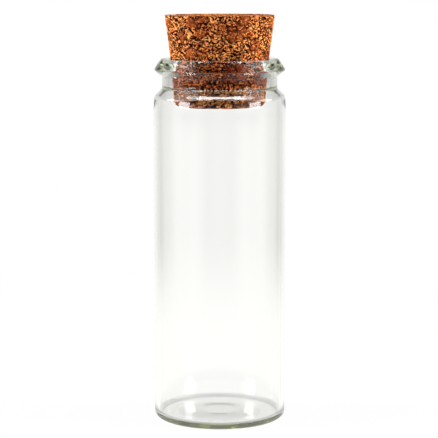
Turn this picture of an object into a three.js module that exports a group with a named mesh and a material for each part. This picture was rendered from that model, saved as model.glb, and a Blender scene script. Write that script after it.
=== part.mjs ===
// A corked glass bottle: a straight vial drawn from glass tube, with a flared
// lip and a pushed-up base, closed by a tapered stopper of agglomerated cork.
// Millimetres, +Z up. The origin is the centre of the ring the bottle stands on.
import * as THREE from "three";

// Glass: overall
const GLASS_HEIGHT = 82.5;
const BODY_DIAMETER = 30;
const BODY_WALL = 1.1;

// Glass: mouth and lip, with heights measured down from the rim
const NECK_STEP = 1.95; // the neck is set in from the body by this much all round
const NECK_WALL = 1.6;
const NECK_LENGTH = 2.7; // straight stretch below the lip
const LIP_FLARE = 1.85; // the lip's widest edge stands out from the neck by this
const LIP_LAND_STEP = 0.2; // the flat rim stands out from the neck by this
const LIP_BEVEL_DROP = 2.5; // rim down to the widest edge
const LIP_BEVEL_SWELL = 0.09; // the bevel swells out by this at its middle
const LIP_BEVEL_RADIUS = 16;
const LIP_UNDERCUT_DROP = 1.45; // widest edge down to the neck
const LIP_EDGE_RADIUS = 0.4;
const RIM_OUTER_RADIUS = 0.35;
const RIM_INNER_RADIUS = 0.8;
const UNDERCUT_RADIUS = 0.4;

// Glass: shoulder, where the tube is drawn in a little before it turns to the neck
const SHOULDER_DROP = 1.85; // foot of the neck down to the shoulder's corner
const SHOULDER_INSET = 0.2; // the corner is drawn in from the body by this
const SHOULDER_WALL = 0.95;
const SHOULDER_RADIUS = 1.45;
const DRAW_LENGTH = 1.75; // the corner down to the full diameter
const DRAW_RADIUS = 25;
const NECK_FOOT_RADIUS = 0.4;
const BORE_FOOT_RADIUS = 0.8;
const INNER_SHOULDER_RADIUS = 1.0;

// Glass: base
const BASE_THICKNESS = 1.2;
const HEEL_RADIUS = 1.5;
const INNER_HEEL_RADIUS = 1.0;
const BEARING_WIDTH = 4.0; // width of the flat ring that it stands on
const PUSH_UP_HEIGHT = 0.3;
const PUSH_UP_CROWN_RADIUS = 3.7; // the flat top of the push-up

// Cork
const CORK_STAND = 9.85; // height above the rim
const CORK_DEPTH = 10.85; // depth below the rim
const CORK_TAPER_OUT = 0.125; // radius gained per mm above the rim
const CORK_TAPER_IN = 0.09; // radius lost per mm below it, where the glass squeezes it
const CORK_PINCH_RADIUS = 30; // the soft bend where the two tapers meet
const CORK_TOP_ARRIS = 0.2;
const CORK_FOOT_ARRIS = 0.6;
const CORK_CLEARANCE = 0.25; // between the cork and the bore at the rim

// Smoothness
const TURN_SEGMENTS = 64;
const ARC_STEP = THREE.MathUtils.degToRad(18);
const PUSH_UP_STEPS = 6;

// Radii and heights that follow from the sizes above
const bodyRadius = BODY_DIAMETER / 2;
const innerRadius = bodyRadius - BODY_WALL;
const neckRadius = bodyRadius - NECK_STEP;
const boreRadius = neckRadius - NECK_WALL;
const lipRadius = neckRadius + LIP_FLARE;
const landRadius = neckRadius + LIP_LAND_STEP;
const shoulderRadius = bodyRadius - SHOULDER_INSET;
const bearingRadius = bodyRadius - HEEL_RADIUS - BEARING_WIDTH;
const lipEdgeHeight = GLASS_HEIGHT - LIP_BEVEL_DROP;
const neckTop = lipEdgeHeight - LIP_UNDERCUT_DROP;
const neckFoot = neckTop - NECK_LENGTH;
const shoulderHeight = neckFoot - SHOULDER_DROP;

const point = (r, z) => new THREE.Vector2(r, z);

// An outline through corners, each { at, fillet }: straight lines with a true arc at each corner.
// A fillet is limited by the shorter of the two straight stretches beside it.
function filleted(corners) {
  const outline = [];
  corners.forEach(({ at, fillet = 0 }, i) => {
    if (fillet === 0) {
      outline.push(at);
      return;
    }
    const before = corners[i - 1].at.clone().sub(at);
    const after = corners[i + 1].at.clone().sub(at);
    const room = Math.min(before.length(), after.length()) / 2;
    const toBefore = before.normalize();
    const toAfter = after.normalize();
    const halfAngle = Math.acos(THREE.MathUtils.clamp(toBefore.dot(toAfter), -1, 1)) / 2;
    const tangent = Math.min(fillet / Math.tan(halfAngle), room);
    const radius = tangent * Math.tan(halfAngle);
    const centre = toBefore.clone().add(toAfter).setLength(radius / Math.sin(halfAngle)).add(at);
    const start = toBefore.multiplyScalar(tangent).add(at).sub(centre);
    const end = toAfter.multiplyScalar(tangent).add(at).sub(centre);
    const clockwise = start.cross(end) < 0;
    const arc = new THREE.EllipseCurve(
      centre.x, centre.y, radius, radius, start.angle(), end.angle(), clockwise,
    );
    const turn = Math.PI - 2 * halfAngle;
    outline.push(...arc.getPoints(Math.max(2, Math.ceil(turn / ARC_STEP))));
  });
  return outline;
}

// One solid of revolution about Z from an outline that starts and ends on the axis.
function revolved(name, outline, material) {
  const geometry = new THREE.LatheGeometry(outline, TURN_SEGMENTS);
  geometry.rotateX(Math.PI / 2);
  const mesh = new THREE.Mesh(geometry, material);
  mesh.name = name;
  return mesh;
}

// The push-up of the base, from its flat crown out to the ring, as one smooth swell.
function pushUp(ringRadius, ringHeight) {
  const crownHeight = ringHeight + PUSH_UP_HEIGHT;
  const middle = (ringRadius + PUSH_UP_CROWN_RADIUS) / 2;
  const swell = new THREE.CubicBezierCurve(
    point(PUSH_UP_CROWN_RADIUS, crownHeight),
    point(middle, crownHeight),
    point(middle, ringHeight),
    point(ringRadius, ringHeight),
  );
  return [point(0, crownHeight), ...swell.getPoints(PUSH_UP_STEPS)];
}

// The middle of the lip's bevel, pushed out from the straight line between its two edges.
function bevelMiddle() {
  const edge = point(lipRadius, lipEdgeHeight);
  const rim = point(landRadius, GLASS_HEIGHT);
  const along = rim.clone().sub(edge).normalize();
  const outward = point(along.y, -along.x);
  return edge.add(rim).multiplyScalar(0.5).add(outward.multiplyScalar(LIP_BEVEL_SWELL));
}

// Where the shoulder's inner face, parallel to the outer one, meets a wall of the given radius.
function innerShoulderAt(radius) {
  const slope = point(shoulderRadius - neckRadius, shoulderHeight - neckFoot).normalize();
  const inward = point(slope.y, -slope.x);
  const onFace = inward.multiplyScalar(SHOULDER_WALL).add(point(neckRadius, neckFoot));
  const along = (radius - onFace.x) / slope.x;
  return point(radius, onFace.y + along * slope.y);
}

function glassBottle() {
  const wall = filleted([
    { at: point(bearingRadius, 0) },
    { at: point(bodyRadius, 0), fillet: HEEL_RADIUS },
    { at: point(bodyRadius, shoulderHeight - DRAW_LENGTH), fillet: DRAW_RADIUS },
    { at: point(shoulderRadius, shoulderHeight), fillet: SHOULDER_RADIUS },
    { at: point(neckRadius, neckFoot), fillet: NECK_FOOT_RADIUS },
    { at: point(neckRadius, neckTop), fillet: UNDERCUT_RADIUS },
    { at: point(lipRadius, lipEdgeHeight), fillet: LIP_EDGE_RADIUS },
    { at: bevelMiddle(), fillet: LIP_BEVEL_RADIUS },
    { at: point(landRadius, GLASS_HEIGHT), fillet: RIM_OUTER_RADIUS },
    { at: point(boreRadius, GLASS_HEIGHT), fillet: RIM_INNER_RADIUS },
    { at: innerShoulderAt(boreRadius), fillet: BORE_FOOT_RADIUS },
    { at: innerShoulderAt(innerRadius), fillet: INNER_SHOULDER_RADIUS },
    { at: point(innerRadius, BASE_THICKNESS), fillet: INNER_HEEL_RADIUS },
    { at: point(bearingRadius, BASE_THICKNESS) },
  ]);
  const outline = [
    ...pushUp(bearingRadius, 0).slice(0, -1),
    ...wall,
    ...pushUp(bearingRadius, BASE_THICKNESS).reverse().slice(1),
  ];
  const clearGlass = new THREE.MeshStandardMaterial({
    color: 0xe9f0ec,
    roughness: 0.03,
    metalness: 0,
    transparent: true,
    opacity: 0.35,
  });
  return revolved("glass_bottle", outline, clearGlass);
}

function corkStopper() {
  const gripRadius = boreRadius - CORK_CLEARANCE;
  const foot = GLASS_HEIGHT - CORK_DEPTH;
  const top = GLASS_HEIGHT + CORK_STAND;
  const footRadius = gripRadius - CORK_TAPER_IN * CORK_DEPTH;
  const topRadius = gripRadius + CORK_TAPER_OUT * CORK_STAND;
  const outline = filleted([
    { at: point(0, foot) },
    { at: point(footRadius, foot), fillet: CORK_FOOT_ARRIS },
    { at: point(gripRadius, GLASS_HEIGHT), fillet: CORK_PINCH_RADIUS },
    { at: point(topRadius, top), fillet: CORK_TOP_ARRIS },
    { at: point(0, top) },
  ]);
  const cork = new THREE.MeshStandardMaterial({
    color: 0xb0713f,
    roughness: 0.9,
    metalness: 0,
  });
  return revolved("cork_stopper", outline, cork);
}

const corkedBottle = new THREE.Group();
corkedBottle.add(glassBottle(), corkStopper());

export default corkedBottle;
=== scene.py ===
"""Corked glass bottle: the finish of a straight glass vial and of its agglomerated-cork stopper.

Lengths are in metres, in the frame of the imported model: +Z up, with the origin at the centre of the ring
that the bottle stands on. The camera looks along +Y.
"""

import math

import bmesh
import bpy
from bpy.props import FloatProperty, FloatVectorProperty, IntProperty, PointerProperty
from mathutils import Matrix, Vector


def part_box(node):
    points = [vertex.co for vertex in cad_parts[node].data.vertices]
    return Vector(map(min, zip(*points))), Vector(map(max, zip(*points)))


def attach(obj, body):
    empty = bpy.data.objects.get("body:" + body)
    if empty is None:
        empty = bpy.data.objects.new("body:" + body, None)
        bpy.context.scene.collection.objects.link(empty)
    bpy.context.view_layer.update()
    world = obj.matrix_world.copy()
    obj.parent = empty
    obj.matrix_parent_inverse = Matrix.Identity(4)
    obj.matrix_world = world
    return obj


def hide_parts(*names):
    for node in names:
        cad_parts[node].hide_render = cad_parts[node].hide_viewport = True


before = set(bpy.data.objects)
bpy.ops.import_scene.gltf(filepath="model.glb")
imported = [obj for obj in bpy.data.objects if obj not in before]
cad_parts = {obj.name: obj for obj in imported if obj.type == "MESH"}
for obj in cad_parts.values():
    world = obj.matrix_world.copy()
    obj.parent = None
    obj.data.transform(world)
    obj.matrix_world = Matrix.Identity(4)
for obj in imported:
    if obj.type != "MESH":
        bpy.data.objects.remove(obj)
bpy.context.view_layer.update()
GLASS_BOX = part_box("glass_bottle")
CORK_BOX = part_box("cork_stopper")

bl_info = {
    "name": "Corked Glass Bottle",
    "version": (1, 0, 0),
    "blender": (4, 5, 0),
    "location": "View3D > Sidebar > Bottle",
    "description": "Builds a corked glass vial and a plain studio round it",
    "category": "Object",
}

MM = 0.001
WHITE = (1.0, 1.0, 1.0, 1.0)


# Settings that a user would change

def length(name, description, millimetres):
    """A length, given in millimetres and kept in metres."""
    return FloatProperty(
        name=name, description=description, default=millimetres * MM, unit="LENGTH", precision=5
    )


def tint(name, description, colour):
    """A linear colour without alpha."""
    return FloatVectorProperty(
        name=name, description=description, default=colour, size=3, subtype="COLOR", min=0.0, max=1.0
    )


def number(name, description, default):
    """A plain number."""
    return FloatProperty(name=name, description=description, default=default)


class GlassSettings(bpy.types.PropertyGroup):
    """Sizes and colour of the glass."""

    height: length("Height", "From the ring it stands on to the rim", GLASS_BOX[1].z / MM)
    diameter: length("Diameter", "Across the body", (GLASS_BOX[1].x - GLASS_BOX[0].x) / MM)
    wall: length("Wall", "Thickness of the body's wall", 1.1)
    neck_step: length("Neck step", "How far the neck is set in from the body", 1.95)
    neck_wall: length("Neck wall", "Thickness of the neck's wall", 1.6)
    neck_length: length("Neck length", "Straight stretch below the lip", 2.7)
    lip_flare: length("Lip flare", "How far the lip stands out from the neck", 1.85)
    land_step: length("Land step", "How far the flat rim stands out from the neck", 0.2)
    bevel_drop: length("Bevel drop", "From the rim down to the lip's widest edge", 2.5)
    bevel_swell: length("Bevel swell", "How far the bevel swells out at its middle", 0.09)
    undercut_drop: length("Undercut drop", "From the widest edge down to the neck", 1.45)
    shoulder_inset: length("Shoulder inset", "How far the shoulder's corner is drawn in from the body", 0.2)
    shoulder_drop: length("Shoulder drop", "From the neck's foot down to the shoulder's corner", 1.85)
    shoulder_wall: length("Shoulder wall", "Thickness of the shoulder", 0.95)
    draw_length: length("Draw length", "From the shoulder's corner down to the full diameter", 1.75)
    base: length("Base", "Thickness of the base", 1.2)
    heel: length("Heel radius", "Round edge between the body and the base", 1.5)
    bearing_width: length("Bearing width", "Width of the flat ring that it stands on", 4.0)
    push_up: length("Push-up", "Rise of the middle of the base", 0.3)
    crown: length("Crown radius", "Flat top of the push-up", 3.7)
    turn_steps: IntProperty(name="Turn steps", description="Faces round the glass", default=256)
    colour: tint("Colour", "Light that is left after one absorption length", (0.853, 0.873, 0.76))
    density: number("Density", "Absorption per metre of glass", 115.0)


class CorkSettings(bpy.types.PropertyGroup):
    """Sizes and colours of the cork."""

    stand: length("Stand", "Height above the rim", (CORK_BOX[1].z - GLASS_BOX[1].z) / MM)
    depth: length("Depth", "Length below the rim", (GLASS_BOX[1].z - CORK_BOX[0].z) / MM)
    clearance: length("Clearance", "Gap between the cork and the bore at the rim", 0.25)
    taper_out: number("Taper above", "Radius gained per unit of height above the rim", 0.125)
    taper_in: number("Taper below", "Radius lost per unit of depth below the rim", 0.09)
    pinch: length("Pinch radius", "Soft bend where the two tapers meet", 30.0)
    top_arris: length("Top arris", "Worn edge of the top", 0.2)
    foot_arris: length("Foot arris", "Worn edge of the foot", 0.6)
    mesh_step: length("Mesh step", "Spacing of the surface's points", 0.2)
    turn_steps: IntProperty(name="Turn steps", description="Faces round the cork", default=372)
    chip: length("Chip", "Size of the pressed chips", 2.2)
    fleck: length("Fleck", "Spacing of the splinters in a chip", 0.7)
    curl: length("Curl", "Spacing of the torn curls that run over the chips", 0.84)
    gap_depth: length("Gap depth", "Depth of the gaps between chips", 0.22)
    dark: tint("Dark", "Colour in the gaps", (0.008, 0.001, 0.001))
    brown: tint("Brown", "Colour of dark chips", (0.110, 0.008, 0.0012))
    tan: tint("Tan", "Middle colour", (0.300, 0.034, 0.002))
    light: tint("Light", "Colour of light chips", (0.520, 0.088, 0.008))
    cream: tint("Cream", "Colour of torn edges", (1.0, 0.390, 0.110))
    smooth: tint("Smooth", "Colour of smooth chips", (0.34, 0.09, 0.024))
    # Painted shade: the share of its colour that the cork keeps in the band inside the mouth
    mouth_shade: tint("Mouth shade", "Share of its colour that the cork keeps in the mouth's grip", (1.0, 0.70, 0.58))


class StageSettings(bpy.types.PropertyGroup):
    """Camera and light."""

    camera_place: FloatVectorProperty(
        name="Camera place", description="Where the camera stands", size=3, subtype="TRANSLATION",
        default=(-0.16 * MM, -402.3 * MM, 102.4 * MM),
    )
    camera_pitch: FloatProperty(
        name="Camera pitch", description="How far the camera looks down", subtype="ANGLE",
        default=math.radians(8.0),
    )
    focal_length: number("Focal length", "Millimetres on a 36 mm sensor", 145.8)
    strip_watts: number("Low strips", "Power of each of the two low strips beside the bottle", 0.5)
    softbox_watts: number("Softboxes", "Power of each of the two softboxes at the bottle's sides", 3.0)
    veil_watts: number("Veils", "Power of each of the two pale sheets above the softboxes", 0.3)
    fill_watts: number("Fill lamps", "Power of each of the two lamps that only light the cork", 1.8)
    top_watts: number("Top sheet", "Power of the sheet overhead, which only shines in the glass", 2.1)
    wing_watts: number("Wing sheets", "Power of each of the two sheets beside the top sheet", 0.33)


# Node helpers

def add(tree, kind, inputs=None, **settings):
    """Adds a node. Inputs are given by name or index, as a socket to link or as a value."""
    made = tree.nodes.new(kind)
    for name, value in settings.items():
        setattr(made, name, value)
    for key, value in (inputs or {}).items():
        if isinstance(value, bpy.types.NodeSocket):
            tree.links.new(value, made.inputs[key])
        else:
            made.inputs[key].default_value = value
    return made


def empty_tree(block):
    """The node tree of a material, world or lamp, with no nodes in it yet."""
    block.use_nodes = True
    block.node_tree.nodes.clear()
    return block.node_tree


def calc(tree, operation, *values):
    """One step of arithmetic."""
    return add(tree, "ShaderNodeMath", dict(enumerate(values)), operation=operation).outputs[0]


def centred(tree, value):
    """A value from 0 to 1, moved to lie round 0."""
    return calc(tree, "SUBTRACT", value, 0.5)


def vector_calc(tree, operation, *values):
    """One step of vector arithmetic."""
    made = add(tree, "ShaderNodeVectorMath", dict(enumerate(values)), operation=operation)
    return made.outputs["Vector"]


def scaled(tree, vector, factor):
    """A vector times a number."""
    made = add(tree, "ShaderNodeVectorMath", {0: vector, "Scale": factor}, operation="SCALE")
    return made.outputs["Vector"]


def fade(tree, value, start, end, low=0.0, high=1.0):
    """Goes smoothly from low, at start, to high, at end."""
    inputs = {"Value": value, "From Min": start, "From Max": end, "To Min": low, "To Max": high}
    return add(tree, "ShaderNodeMapRange", inputs, interpolation_type="SMOOTHSTEP").outputs[0]


def noise(tree, vector, scale, detail=2.0, roughness=0.5):
    """A noise texture node."""
    inputs = {"Vector": vector, "Scale": scale, "Detail": detail, "Roughness": roughness}
    return add(tree, "ShaderNodeTexNoise", inputs)


def voronoi(tree, vector, scale, feature="F1"):
    """A Voronoi texture node."""
    return add(tree, "ShaderNodeTexVoronoi", {"Vector": vector, "Scale": scale}, feature=feature)


def gabor(tree, vector, scale, frequency, anisotropy, way):
    """A field of short strokes that lean across a direction, which is the node's sixth input."""
    inputs = {"Vector": vector, "Scale": scale, "Frequency": frequency, "Anisotropy": anisotropy, 5: way}
    return add(tree, "ShaderNodeTexGabor", inputs, gabor_type="3D").outputs["Value"]


def blend(tree, factor, a, b):
    """A mix of two numbers."""
    return add(tree, "ShaderNodeMix", {0: factor, 2: a, 3: b}, data_type="FLOAT").outputs[0]


def blend_colour(tree, factor, a, b, blend_type="MIX"):
    """A mix of two colours."""
    made = add(tree, "ShaderNodeMix", {0: factor, 6: a, 7: b}, data_type="RGBA", blend_type=blend_type)
    return made.outputs[2]


def rgba(colour):
    """A colour with full alpha."""
    return (*colour, 1.0)


def colour_ramp(tree, value, stops):
    """A colour that follows stops of (position, colour)."""
    ramp = add(tree, "ShaderNodeValToRGB", {0: value})
    while len(ramp.color_ramp.elements) < len(stops):
        ramp.color_ramp.elements.new(0.5)
    for element, (position, colour) in zip(ramp.color_ramp.elements, stops):
        element.position = position
        element.color = rgba(colour)
    return ramp.outputs[0]


def level_ramp(tree, value, stops):
    """A grey that follows stops of (position, level)."""
    return colour_ramp(tree, value, [(position, (level,) * 3) for position, level in stops])


# Outlines

ARC_STEP = math.radians(7.5)
ROUNDING = 1e-6  # keeps a stretch that is a whole number of steps long from getting one point too many
SWELL_STEPS = 16


def filleted(corners):
    """Points through corners, each (radius, height, fillet), with an arc at each corner that has one."""
    points = []
    for i, (r, z, fillet) in enumerate(corners):
        at = Vector((r, z))
        if fillet == 0.0:
            points.append(at)
            continue
        before = Vector(corners[i - 1][:2]) - at
        after = Vector(corners[i + 1][:2]) - at
        room = min(before.length, after.length) / 2
        before.normalize()
        after.normalize()
        half = before.angle(after) / 2
        tangent = min(fillet / math.tan(half), room)
        radius = tangent * math.tan(half)
        centre = at + (before + after).normalized() * radius / math.sin(half)
        start = at + before * tangent - centre
        turn = start.angle_signed(at + after * tangent - centre)
        steps = max(2, math.ceil(abs(turn) / ARC_STEP))
        for step in range(steps + 1):
            angle = -turn * step / steps
            spoke = Vector((
                start.x * math.cos(angle) - start.y * math.sin(angle),
                start.x * math.sin(angle) + start.y * math.cos(angle),
            ))
            points.append(centre + spoke)
    return points


def spread(points, step):
    """The same outline with points added wherever two lie further apart than step."""
    finer = [points[0]]
    for a, b in zip(points, points[1:]):
        count = max(1, math.ceil((b - a).length / step - ROUNDING))
        finer += [a.lerp(b, n / count) for n in range(1, count + 1)]
    return finer


def smooth_swell(inner, inner_height, outer, outer_height):
    """Points of an S-shaped swell from an inner radius to an outer one, level at both ends."""
    points = []
    for n in range(SWELL_STEPS + 1):
        t = n / SWELL_STEPS
        rise = t * t * (3 - 2 * t)
        radius = inner + (outer - inner) * t
        height = inner_height + (outer_height - inner_height) * rise
        points.append(Vector((radius, height)))
    return points


# The turned pieces, as Geometry Nodes

SPINDLE = 5.0 * MM  # radius of the circle that an outline is carried round
WELD = 0.001 * MM  # points closer than this become one, as they do on the axis


def socket(tree, name, kind, way="INPUT", **settings):
    """Adds a named socket to a node group."""
    made = tree.interface.new_socket(name, in_out=way, socket_type=kind)
    for key, value in settings.items():
        setattr(made, key, value)
    return made


def turned_tree(name):
    """A tree that turns an outline about Z. Returns it with its input node and the turned mesh's socket."""
    tree = bpy.data.node_groups.new(name, "GeometryNodeTree")
    socket(tree, "Outline", "NodeSocketGeometry")
    socket(tree, "Turn Steps", "NodeSocketInt", default_value=64, min_value=8)
    socket(tree, "Material", "NodeSocketMaterial")
    socket(tree, "Geometry", "NodeSocketGeometry", "OUTPUT")
    given = add(tree, "NodeGroupInput")
    circle = add(
        tree, "GeometryNodeCurvePrimitiveCircle",
        {"Resolution": given.outputs["Turn Steps"], "Radius": SPINDLE},
    )
    turned = add(
        tree, "GeometryNodeCurveToMesh",
        {"Curve": circle.outputs["Curve"], "Profile Curve": given.outputs["Outline"]},
    )
    welded = add(
        tree, "GeometryNodeMergeByDistance", {"Geometry": turned.outputs["Mesh"], "Distance": WELD}
    )
    outward = add(tree, "GeometryNodeFlipFaces", {"Mesh": welded.outputs["Geometry"]})
    return tree, given, outward.outputs["Mesh"]


def finish_tree(tree, given, geometry):
    """Ends a tree with smooth shading, realized instances and the material."""
    smooth = add(tree, "GeometryNodeSetShadeSmooth", {"Geometry": geometry})
    real = add(tree, "GeometryNodeRealizeInstances", {"Geometry": smooth.outputs["Geometry"]})
    painted = add(
        tree, "GeometryNodeSetMaterial",
        {"Geometry": real.outputs["Geometry"], "Material": given.outputs["Material"]},
    )
    add(tree, "NodeGroupOutput", {"Geometry": painted.outputs["Geometry"]})
    return tree


def outline_curve(name, points):
    """A curve object with an outline in the form that the turned trees take: X from the spindle, Y down."""
    curve = bpy.data.curves.new(name, "CURVE")
    curve.dimensions = "3D"
    spline = curve.splines.new("POLY")
    spline.points.add(len(points) - 1)
    for spot, point in zip(spline.points, points):
        spot.co = (point.x - SPINDLE, -point.y, 0.0, 1.0)
    made = bpy.data.objects.new(name, curve)
    bpy.context.collection.objects.link(made)
    return made


def turned_piece(name, points, tree, inputs, material):
    """Runs a tree on an outline and keeps the result as a plain mesh whose faces point outwards."""
    outline = outline_curve(name + "_outline", points)
    modifier = outline.modifiers.new("Turned", "NODES")
    modifier.node_group = tree
    for item in tree.interface.items_tree:
        if item.in_out == "INPUT" and item.name in inputs:
            modifier[item.identifier] = inputs[item.name]
    bpy.context.view_layer.update()
    depsgraph = bpy.context.evaluated_depsgraph_get()
    mesh = bpy.data.meshes.new_from_object(outline.evaluated_get(depsgraph), depsgraph=depsgraph)
    curve = outline.data
    bpy.data.objects.remove(outline)
    bpy.data.curves.remove(curve)
    if not mesh.polygons:
        raise RuntimeError(f"{name} came out empty")
    shape = bmesh.new()
    shape.from_mesh(mesh)
    bmesh.ops.recalc_face_normals(shape, faces=shape.faces)
    shape.to_mesh(mesh)
    shape.free()
    mesh.name = name
    mesh.materials.clear()
    mesh.materials.append(material)
    piece = bpy.data.objects.new(name, mesh)
    bpy.context.collection.objects.link(piece)
    return piece


# Glass

# Radii of the rounded corners in the glass's section
DRAW_RADIUS = 25.0 * MM
SHOULDER_RADIUS = 1.45 * MM
NECK_FOOT_RADIUS = 0.4 * MM
UNDERCUT_RADIUS = 0.4 * MM
LIP_EDGE_RADIUS = 0.4 * MM
BEVEL_RADIUS = 16.0 * MM
RIM_OUTER_RADIUS = 0.35 * MM
RIM_INNER_RADIUS = 0.8 * MM
BORE_FOOT_RADIUS = 0.8 * MM
INNER_SHOULDER_RADIUS = 1.0 * MM
INNER_HEEL_RADIUS = 1.0 * MM

GLASS_MESH_STEP = 1.0 * MM

# The faint waves that drawing leaves in the tube: how many there are to the metre, and how deep they look
WAVE_SCALE = 90.0
WAVE_DETAIL = 1.0
WAVE_DEPTH = 0.2 * MM
WAVE_STRENGTH = 0.02


def glass_outline(s):
    """The glass in section, from the middle of the base outside to the middle of the base inside."""
    body = s.diameter / 2
    inside = body - s.wall
    neck = body - s.neck_step
    bore = neck - s.neck_wall
    lip_height = s.height - s.bevel_drop
    neck_top = lip_height - s.undercut_drop
    neck_foot = neck_top - s.neck_length
    corner = neck_foot - s.shoulder_drop
    bearing = body - s.heel - s.bearing_width
    drawn = body - s.shoulder_inset
    slope = Vector((drawn - neck, corner - neck_foot)).normalized()
    face = Vector((neck, neck_foot)) + Vector((slope.y, -slope.x)) * s.shoulder_wall
    lip = Vector((neck + s.lip_flare, lip_height))
    land = Vector((neck + s.land_step, s.height))
    bevel = (land - lip).normalized()
    swell = (lip + land) / 2 + Vector((bevel.y, -bevel.x)) * s.bevel_swell

    def under_shoulder(radius):
        return face.y + (radius - face.x) * slope.y / slope.x

    wall = filleted([
        (bearing, 0.0, 0.0),
        (body, 0.0, s.heel),
        (body, corner - s.draw_length, DRAW_RADIUS),
        (drawn, corner, SHOULDER_RADIUS),
        (neck, neck_foot, NECK_FOOT_RADIUS),
        (neck, neck_top, UNDERCUT_RADIUS),
        (*lip, LIP_EDGE_RADIUS),
        (*swell, BEVEL_RADIUS),
        (*land, RIM_OUTER_RADIUS),
        (bore, s.height, RIM_INNER_RADIUS),
        (bore, under_shoulder(bore), BORE_FOOT_RADIUS),
        (inside, under_shoulder(inside), INNER_SHOULDER_RADIUS),
        (inside, s.base, INNER_HEEL_RADIUS),
        (bearing, s.base, 0.0),
    ])
    outside = [Vector((0.0, s.push_up))] + smooth_swell(s.crown, s.push_up, bearing, 0.0)
    lifted = [point + Vector((0.0, s.base)) for point in reversed(outside)]
    return outside[:-1] + wall + lifted[1:]


def glass_material(s):
    """Clear soda-lime glass with a faint green depth and the soft lines of drawn tube."""
    material = bpy.data.materials.new("clear_glass")
    tree = empty_tree(material)
    place = add(tree, "ShaderNodeTexCoord").outputs["Object"]
    waves = noise(tree, place, WAVE_SCALE, WAVE_DETAIL).outputs[0]
    bump = add(tree, "ShaderNodeBump", {"Height": waves, "Strength": WAVE_STRENGTH, "Distance": WAVE_DEPTH})
    glass = add(tree, "ShaderNodeBsdfPrincipled", {
        "Base Color": WHITE,
        "Roughness": 0.0,
        "IOR": 1.5,
        "Transmission Weight": 1.0,
        "Normal": bump.outputs[0],
    })
    depth = add(tree, "ShaderNodeVolumeAbsorption", {"Color": rgba(s.colour), "Density": s.density})
    add(tree, "ShaderNodeOutputMaterial", {"Surface": glass.outputs[0], "Volume": depth.outputs[0]})
    return material


class BOTTLE_OT_glass(bpy.types.Operator):
    """Build the glass bottle"""

    bl_idname = "bottle.glass"
    bl_label = "Glass Bottle"

    def execute(self, context):
        s = context.scene.bottle_glass
        tree, given, mesh = turned_tree("Turned Glass")
        finish_tree(tree, given, mesh)
        material = glass_material(s)
        points = spread(glass_outline(s), GLASS_MESH_STEP)
        inputs = {"Turn Steps": s.turn_steps, "Material": material}
        glass = turned_piece("clear_bottle", points, tree, inputs, material)
        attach(glass, "bottle")
        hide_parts("glass_bottle")
        return {"FINISHED"}


# Cork

# Fields in the cork. Scales are per mm. A fade is (from, to), for 0 to 1, or (from, to, low, high).
WANDER_SCALE = 0.7
WANDER_REACH = 2.2  # how far the chips' edges stray, in mm
PATCH_SCALE = 0.5
STROKE_FREQUENCY = 1.2
SPLINTER_LEAN = 0.8  # 1 lays all the splinters of a chip along one line, 0 in all directions
LIE_MIDDLE = (0.5, 0.45, 0.55)  # taken from a chip's random colour, to give the way its splinters lie
SPLINTER_SHARE = 1.2
CURL_SHARE = 0.95
CHIP_ROUGHNESS = (0.2, 0.5, 0.22, 1.25)  # by the chip's random number
PATCH_ROUGHNESS = (0.35, 0.65, 0.7, 1.1)
SMOOTH_CHIPS = (0.34, 0.2)
SEAM_WIDTH = (0.4, 0.65, 0.14, 0.34)
SEAM_START = 0.02
SEAM_SHARE = 0.8
TORN = (0.465, 0.42)
CHIP_LIFT = 0.25  # how unevenly the chips lie, as a share of the gaps' depth

# The cork's colour: what each field adds to the tone, and where the colours lie on the scale of tones
TONE_LEVEL = 0.25
FLECK_TONE = 6.0
FINE_TONE = 2.6
CHIP_TONE = 0.3
RIM_TONE = 0.4
DARK_AT, BROWN_AT, TAN_AT, LIGHT_AT, CREAM_AT = 0.06, 0.24, 0.4, 0.68, 0.95
FINE_SCALE = 4.2
FINE_DETAIL = 2.0
FINE_ROUGHNESS = 0.6
RIM_RISE = (0.1, 0.26)  # the pale rim of a chip, by the distance from its edge
RIM_FALL = (0.6, 0.3)
RIM_BREAKS = (0.42, 0.6)
SMOOTH_SHARE = 0.4
MOUTH_SHADE_TOP = (83.0, 82.0)  # painted shade: the band inside the mouth where the cork is darkened, by height in mm
MOUTH_SHADE_FOOT = (75.5, 77.0)
RELIEF_TONE = 0.5
RELIEF_DEPTH = 0.2 * MM
RELIEF_STRENGTH = 0.8


def cork_outline(s, g):
    """The cork in section, from the middle of its foot to the middle of its top."""
    rim = g.height
    grip = g.diameter / 2 - g.neck_step - g.neck_wall - s.clearance
    foot = grip - s.taper_in * s.depth
    top = grip + s.taper_out * s.stand
    return filleted([
        (0.0, rim - s.depth, 0.0),
        (foot, rim - s.depth, s.foot_arris),
        (grip, rim, s.pinch),
        (top, rim + s.stand, s.top_arris),
        (0.0, rim + s.stand, 0.0),
    ])


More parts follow.
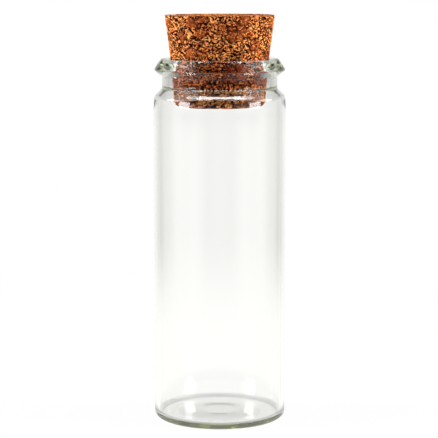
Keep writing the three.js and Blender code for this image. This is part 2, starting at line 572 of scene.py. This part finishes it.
def grain_fields(tree, place, s):
    """Sockets that describe the cork at a place: the place in mm, how far it is from its chip's edge, in mm,
    the chip's own random number, whether the chip is smooth, the torn flecks, from low in a tear to high on a
    raised splinter, and where the seams gape."""
    here = scaled(tree, place, 1.0 / MM)
    wander = vector_calc(tree, "SUBTRACT", noise(tree, here, WANDER_SCALE).outputs["Color"], (0.5,) * 3)
    bent = vector_calc(tree, "ADD", here, scaled(tree, wander, WANDER_REACH))
    chip_scale = MM / s.chip
    chip = voronoi(tree, bent, chip_scale).outputs["Color"]
    edge = voronoi(tree, bent, chip_scale, "DISTANCE_TO_EDGE").outputs["Distance"]
    numbers = add(tree, "ShaderNodeSeparateXYZ", {0: chip}).outputs
    lie = vector_calc(tree, "SUBTRACT", chip, LIE_MIDDLE)
    patch = noise(tree, here, PATCH_SCALE, 1.0).outputs[0]
    splinters = gabor(tree, bent, MM / s.fleck, STROKE_FREQUENCY, SPLINTER_LEAN, lie)
    curls = gabor(tree, here, MM / s.curl, STROKE_FREQUENCY, 0.0, (1.0, 0.0, 0.0))
    tears = calc(tree, "MULTIPLY", centred(tree, curls), CURL_SHARE)
    tears = calc(tree, "MULTIPLY_ADD", centred(tree, splinters), SPLINTER_SHARE, tears)
    rough = calc(
        tree, "MULTIPLY", fade(tree, numbers[0], *CHIP_ROUGHNESS), fade(tree, patch, *PATCH_ROUGHNESS)
    )
    return {
        "here": here,
        "edge": calc(tree, "DIVIDE", edge, chip_scale),
        "own": numbers[1],
        "smooth": fade(tree, numbers[0], *SMOOTH_CHIPS),
        "fleck": calc(tree, "MULTIPLY_ADD", tears, rough, 0.5),
        "gape": patch,
    }


def gap_mask(tree, grain):
    """1 in the open gaps between chips and in the torn flecks, 0 elsewhere."""
    width = fade(tree, grain["gape"], *SEAM_WIDTH)
    seam = calc(tree, "SUBTRACT", 1.0, fade(tree, grain["edge"], SEAM_START, width))
    torn = fade(tree, grain["fleck"], *TORN)
    return calc(tree, "MAXIMUM", calc(tree, "MULTIPLY", seam, SEAM_SHARE), torn)


def cork_tree(s):
    """The cork turned about Z and then worn into chips, gaps and flecks."""
    tree, given, mesh = turned_tree("Turned Cork")
    place = add(tree, "GeometryNodeInputPosition").outputs[0]
    normal = add(tree, "GeometryNodeInputNormal").outputs[0]
    grain = grain_fields(tree, place, s)
    gap = gap_mask(tree, grain)
    lift = calc(tree, "MULTIPLY", grain["own"], CHIP_LIFT)
    sunk = calc(tree, "MULTIPLY", calc(tree, "ADD", gap, lift), -s.gap_depth)
    worn = add(tree, "GeometryNodeSetPosition", {"Geometry": mesh, "Offset": scaled(tree, normal, sunk)})
    return finish_tree(tree, given, worn.outputs["Geometry"])


def cork_material(s):
    """Pressed cork chips: tan to brown, flecked along their grain, with dark gaps and cream torn edges."""
    material = bpy.data.materials.new("agglomerated_cork")
    tree = empty_tree(material)
    place = add(tree, "ShaderNodeTexCoord").outputs["Object"]
    grain = grain_fields(tree, place, s)
    gap = gap_mask(tree, grain)
    fine = noise(tree, grain["here"], FINE_SCALE, FINE_DETAIL, FINE_ROUGHNESS).outputs[0]
    tone = calc(tree, "MULTIPLY_ADD", centred(tree, grain["fleck"]), FLECK_TONE, TONE_LEVEL)
    tone = calc(tree, "MULTIPLY_ADD", centred(tree, fine), FINE_TONE, tone)
    tone = calc(tree, "MULTIPLY_ADD", centred(tree, grain["own"]), CHIP_TONE, tone)
    rim = calc(tree, "MULTIPLY", fade(tree, grain["edge"], *RIM_RISE), fade(tree, grain["edge"], *RIM_FALL))
    rim = calc(tree, "MULTIPLY", rim, fade(tree, fine, *RIM_BREAKS))
    tone = calc(tree, "MULTIPLY_ADD", rim, RIM_TONE, tone)
    colour = colour_ramp(tree, tone, [
        (DARK_AT, s.dark), (BROWN_AT, s.brown), (TAN_AT, s.tan), (LIGHT_AT, s.light), (CREAM_AT, s.cream)
    ])
    evened = calc(tree, "MULTIPLY", grain["smooth"], SMOOTH_SHARE)
    colour = blend_colour(tree, evened, colour, rgba(s.smooth))
    colour = blend_colour(tree, gap, colour, rgba(s.dark))
    # Painted shade: the cork is darkened in a band inside the mouth, in place of the shadow that the lip casts
    # on it
    height = add(tree, "ShaderNodeSeparateXYZ", {0: grain["here"]}).outputs[2]
    grip = calc(tree, "MULTIPLY", fade(tree, height, *MOUTH_SHADE_TOP), fade(tree, height, *MOUTH_SHADE_FOOT))
    colour = blend_colour(tree, grip, colour, rgba(s.mouth_shade), "MULTIPLY")
    relief = calc(tree, "SUBTRACT", calc(tree, "MULTIPLY", tone, RELIEF_TONE), gap)
    bump = add(
        tree, "ShaderNodeBump",
        {"Height": relief, "Strength": RELIEF_STRENGTH, "Distance": RELIEF_DEPTH},
    )
    surface = add(tree, "ShaderNodeBsdfPrincipled", {
        "Base Color": colour,
        "Roughness": 0.85,
        "Specular IOR Level": 0.05,
        "Normal": bump.outputs[0],
    })
    add(tree, "ShaderNodeOutputMaterial", {"Surface": surface.outputs[0]})
    return material


class BOTTLE_OT_cork(bpy.types.Operator):
    """Build the cork stopper"""

    bl_idname = "bottle.cork"
    bl_label = "Cork Stopper"

    def execute(self, context):
        s = context.scene.bottle_cork
        material = cork_material(s)
        points = spread(cork_outline(s, context.scene.bottle_glass), s.mesh_step)
        inputs = {"Turn Steps": s.turn_steps, "Material": material}
        cork = turned_piece("pressed_cork", points, cork_tree(s), inputs, material)
        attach(cork, "stopper")
        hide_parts("cork_stopper")
        return {"FINISHED"}


# Stage

# Light runs round inside the thick lip, so it may be turned this often before it is given up.
GLASS_BOUNCES = 32

# Light Path counts bounces in whole numbers, so a count above this is one or more.
AT_LEAST_ONE = 0.5

# A ray that has crossed more faces of glass than this has come through the whole bottle.
THROUGH_DEPTH = 2.5

FLOOR_HALF = 8.0
FLOOR_GREY = (0.78, 0.78, 0.78, 1.0)

# How bright the white sheet looks in the glass, as (place, level).
# Far off, by the turn round the bottle, from straight behind it (0) to the camera (1).
ROUND_LEVELS = [
    (0.0, 1.0), (0.1, 1.0), (0.22, 0.82), (0.35, 0.5), (0.44, 0.5), (0.55, 1.0), (0.75, 1.0), (0.87, 0.3),
    (1.0, 0.2),
]
# Far off and through the whole bottle, by the turn too, going from light (0) to dark (1) in each THROUGH_STEP.
THROUGH_LEVELS = [(0.0, 1.0), (0.2, 1.0), (0.6, 0.92), (1.0, 0.74)]
THROUGH_STEP = math.radians(22.5)
# Close by, from the bottle's axis (0) out to SHADOW_REACH (1). The heel keeps the light off a ring.
SHADOW_LEVELS = [
    (0.0, 1.0), (0.32, 0.98), (0.36, 0.65), (0.43, 0.65), (0.52, 1.03), (0.65, 1.07), (0.9, 1.07), (1.0, 1.045)
]
SHADOW_REACH = 38.0 * MM

# Fades over the sheet, in metres from the bottle or towards the back, each (from, to, low, high)
UNDER_BASE = (12.0 * MM, 14.0 * MM, 0.3, 1.0)  # painted shade under the bottle, in rays that the glass has mirrored
CLOSE_TO_FAR = (0.09, 0.3, 0.0, 1.0)
FAR_DIMS = (0.7, 1.4, 1.0, 0.75)
IN_FRONT = (-0.1, -0.4, 0.0, 1.0)
FRONT_DIMS = (0.6, 1.1, 1.0, 0.1)
BARE_WHITE = (0.05, 0.2, 0.94, 1.0)  # the camera's share of plain white; the matt rest takes the shadow

# How bright the room's backdrop looks in the glass: by direction from the front to the back, as a fade, and by
# rise from the horizon (0) to overhead (1), in rays off the glass and in rays through the whole bottle.
BACKDROP = (0.1, 0.8, 0.15, 1.0)
RISE_LEVELS = [(0.0, 0.78), (0.17, 0.66), (0.23, 0.4), (0.29, 0.14), (0.5, 0.14), (1.0, 0.1)]
THROUGH_RISE_LEVELS = [(0.0, 0.85), (0.2, 0.82), (0.28, 0.5), (0.36, 0.14), (0.5, 0.14), (1.0, 0.1)]


def through_bottle(tree, path):
    """1 for a ray that has come through the whole bottle, 0 for another."""
    return calc(tree, "GREATER_THAN", path["Transmission Depth"], THROUGH_DEPTH)


def floor_material():
    """A white sheet: white to the camera, and shaded by direction and distance where the glass shows it."""
    material = bpy.data.materials.new("white_sheet")
    tree = empty_tree(material)
    path = add(tree, "ShaderNodeLightPath").outputs
    place = add(tree, "ShaderNodeTexCoord").outputs["Object"]
    part = add(tree, "ShaderNodeSeparateXYZ", {0: place}).outputs
    far = add(tree, "ShaderNodeVectorMath", {0: place}, operation="LENGTH").outputs["Value"]
    aside = calc(tree, "ARCTAN2", calc(tree, "ABSOLUTE", part[0]), part[1])
    turn = calc(tree, "DIVIDE", aside, math.pi)
    front_level = blend(tree, fade(tree, part[1], *IN_FRONT), 1.0, fade(tree, far, *FRONT_DIMS))
    mirror_level = calc(tree, "MULTIPLY", level_ramp(tree, turn, ROUND_LEVELS), front_level)
    panel = calc(tree, "DIVIDE", calc(tree, "PINGPONG", aside, THROUGH_STEP), THROUGH_STEP)
    panel_level = level_ramp(tree, panel, THROUGH_LEVELS)
    far_level = blend(tree, through_bottle(tree, path), mirror_level, panel_level)
    far_level = calc(tree, "MULTIPLY", far_level, fade(tree, far, *FAR_DIMS))
    close_level = level_ramp(tree, calc(tree, "DIVIDE", far, SHADOW_REACH), SHADOW_LEVELS)
    bounced = calc(tree, "GREATER_THAN", path["Glossy Depth"], AT_LEAST_ONE)
    shade = blend(tree, bounced, 1.0, fade(tree, far, *UNDER_BASE))
    close_level = calc(tree, "MULTIPLY", close_level, shade)
    level = blend(tree, fade(tree, far, *CLOSE_TO_FAR), close_level, far_level)
    shown = blend(tree, path["Is Camera Ray"], level, 1.0)
    glow = add(tree, "ShaderNodeEmission", {"Color": WHITE, "Strength": shown})
    matt = add(tree, "ShaderNodeBsdfDiffuse", {"Color": FLOOR_GREY})
    mirrored = calc(tree, "MAXIMUM", path["Is Glossy Ray"], path["Is Transmission Ray"])
    direct = calc(tree, "MULTIPLY", path["Is Camera Ray"], fade(tree, far, *BARE_WHITE))
    first = calc(tree, "LESS_THAN", path["Diffuse Depth"], AT_LEAST_ONE)
    seen = calc(tree, "MAXIMUM", calc(tree, "MULTIPLY", mirrored, first), direct)
    mixed = add(tree, "ShaderNodeMixShader", {0: seen, 1: matt.outputs[0], 2: glow.outputs[0]})
    add(tree, "ShaderNodeOutputMaterial", {"Surface": mixed.outputs[0]})
    return material


def studio_world():
    """A low white backdrop behind the bottle in a dark room."""
    world = bpy.data.worlds.new("studio")
    tree = empty_tree(world)
    path = add(tree, "ShaderNodeLightPath").outputs
    direction = add(tree, "ShaderNodeTexCoord").outputs["Generated"]
    way = add(tree, "ShaderNodeSeparateXYZ", {0: direction}).outputs
    rise = level_ramp(tree, way[2], RISE_LEVELS)
    through_rise = level_ramp(tree, way[2], THROUGH_RISE_LEVELS)
    rise = blend(tree, through_bottle(tree, path), rise, through_rise)
    level = calc(tree, "MULTIPLY", fade(tree, way[1], *BACKDROP), rise)
    shown = blend(tree, path["Is Camera Ray"], level, 1.0)
    sky = add(tree, "ShaderNodeBackground", {"Color": WHITE, "Strength": shown})
    add(tree, "ShaderNodeOutputWorld", {"Surface": sky.outputs[0]})
    return world


# The lamps: the turn round the bottle from the camera's side, the rise, the distance, the width and the height.
# All but the top sheet hang in pairs. The low strips start just above the shoulder, so that the drawn-in glass
# below it shows them. The top sheet and the wing sheets draw the bright ring on the shoulder.
LAMP_AIM = Vector((0.0, 0.0, 0.075))
STRIP = (math.radians(63.0), math.radians(5.2), 0.43, 0.16, 0.0714)
SOFTBOX = (math.radians(90.0), math.radians(26.0), 0.5, 0.36, 0.21)
VEIL = (math.radians(88.0), math.radians(49.0), 0.5, 0.48, 0.16)
FILL = (math.radians(80.0), math.radians(10.0), 0.5, 0.3, 0.2)
TOP_SHEET = (0.0, math.radians(82.0), 0.53, 0.52, 0.085)
WING_SHEET = (math.radians(92.0), math.radians(62.8), 0.59, 0.13, 0.15)
STRIP_GLOW = 0.2
SOFTBOX_GLINT = 0.35


def lamp(name, place, watts, glow=1.0, glint=1.0):
    """A rectangular lamp that faces the shoulder of the bottle. Its light on the cork is times glow, and its
    image in the glass is times glint."""
    turn, rise, away, width, height = place
    light = bpy.data.lights.new(name, "AREA")
    light.shape = "RECTANGLE"
    light.size = width
    light.size_y = height
    light.energy = watts
    tree = empty_tree(light)
    path = add(tree, "ShaderNodeLightPath").outputs
    bends = calc(tree, "ADD", path["Glossy Depth"], path["Transmission Depth"])
    direct = calc(tree, "LESS_THAN", path["Diffuse Depth"], AT_LEAST_ONE)
    image = calc(tree, "MULTIPLY", calc(tree, "GREATER_THAN", bends, AT_LEAST_ONE), direct)
    shine = add(tree, "ShaderNodeEmission", {"Strength": blend(tree, image, glow, glint)})
    add(tree, "ShaderNodeOutputLight", {0: shine.outputs[0]})
    out = Vector((math.sin(turn) * math.cos(rise), -math.cos(turn) * math.cos(rise), math.sin(rise)))
    made = bpy.data.objects.new(name, light)
    made.location = LAMP_AIM + out * away
    made.rotation_euler = (-out).to_track_quat("-Z", "Y").to_euler()
    made.visible_camera = False
    bpy.context.collection.objects.link(made)


def hang_lamps(s):
    """A low strip, a softbox, a pale veil, a fill and a wing sheet on each side, and a sheet overhead."""
    for side, name in ((-1, "left"), (1, "right")):
        lamp(name + "_strip", (side * STRIP[0], *STRIP[1:]), s.strip_watts, glow=STRIP_GLOW)
        lamp(name + "_softbox", (side * SOFTBOX[0], *SOFTBOX[1:]), s.softbox_watts, glint=SOFTBOX_GLINT)
        lamp(name + "_veil", (side * VEIL[0], *VEIL[1:]), s.veil_watts)
        lamp(name + "_fill", (side * FILL[0], *FILL[1:]), s.fill_watts, glint=0.0)
        lamp(name + "_wing_sheet", (side * WING_SHEET[0], *WING_SHEET[1:]), s.wing_watts, glow=0.0)
    lamp("top_sheet", TOP_SHEET, s.top_watts, glow=0.0)


SENSOR_WIDTH = 36.0
LENS_CLIP = 0.01


class BOTTLE_OT_stage(bpy.types.Operator):
    """Lay the floor, hang the lamps and set up the camera"""

    bl_idname = "bottle.stage"
    bl_label = "Studio Stage"

    def execute(self, context):
        s = context.scene.bottle_stage
        corners = [(x * FLOOR_HALF, y * FLOOR_HALF, 0.0) for x, y in ((-1, -1), (1, -1), (1, 1), (-1, 1))]
        mesh = bpy.data.meshes.new("floor")
        mesh.from_pydata(corners, [], [(0, 1, 2, 3)])
        mesh.materials.append(floor_material())
        floor = bpy.data.objects.new("floor", mesh)
        context.collection.objects.link(floor)
        context.scene.world = studio_world()
        hang_lamps(s)
        lens = bpy.data.cameras.new("camera")
        lens.sensor_width = SENSOR_WIDTH
        lens.lens = s.focal_length
        lens.clip_start = LENS_CLIP
        camera = bpy.data.objects.new("camera", lens)
        camera.location = s.camera_place
        camera.rotation_euler = (math.pi / 2 - s.camera_pitch, 0.0, 0.0)
        context.collection.objects.link(camera)
        context.scene.camera = camera
        context.scene.view_settings.view_transform = "Standard"
        context.scene.cycles.max_bounces = GLASS_BOUNCES
        context.scene.cycles.glossy_bounces = GLASS_BOUNCES
        context.scene.cycles.transmission_bounces = GLASS_BOUNCES
        return {"FINISHED"}


class BOTTLE_PT_panel(bpy.types.Panel):
    """Settings and steps of the bottle"""

    bl_idname = "BOTTLE_PT_panel"
    bl_label = "Corked Glass Bottle"
    bl_space_type = "VIEW_3D"
    bl_region_type = "UI"
    bl_category = "Bottle"

    def draw(self, context):
        scene = context.scene
        for operator, settings in (
            (BOTTLE_OT_glass, scene.bottle_glass),
            (BOTTLE_OT_cork, scene.bottle_cork),
            (BOTTLE_OT_stage, scene.bottle_stage),
        ):
            box = self.layout.box()
            box.operator(operator.bl_idname)
            for name in settings.__annotations__:
                box.prop(settings, name)


SETTINGS = {
    "bottle_glass": GlassSettings,
    "bottle_cork": CorkSettings,
    "bottle_stage": StageSettings,
}
CLASSES = (*SETTINGS.values(), BOTTLE_OT_glass, BOTTLE_OT_cork, BOTTLE_OT_stage, BOTTLE_PT_panel)


def register():
    for cls in CLASSES:
        bpy.utils.register_class(cls)
    for name, cls in SETTINGS.items():
        setattr(bpy.types.Scene, name, PointerProperty(type=cls))


def unregister():
    for name in SETTINGS:
        delattr(bpy.types.Scene, name)
    for cls in reversed(CLASSES):
        bpy.utils.unregister_class(cls)


def main():
    register()
    bpy.ops.bottle.stage()
    bpy.ops.bottle.glass()
    bpy.ops.bottle.cork()


if __name__ == "__main__":
    main()
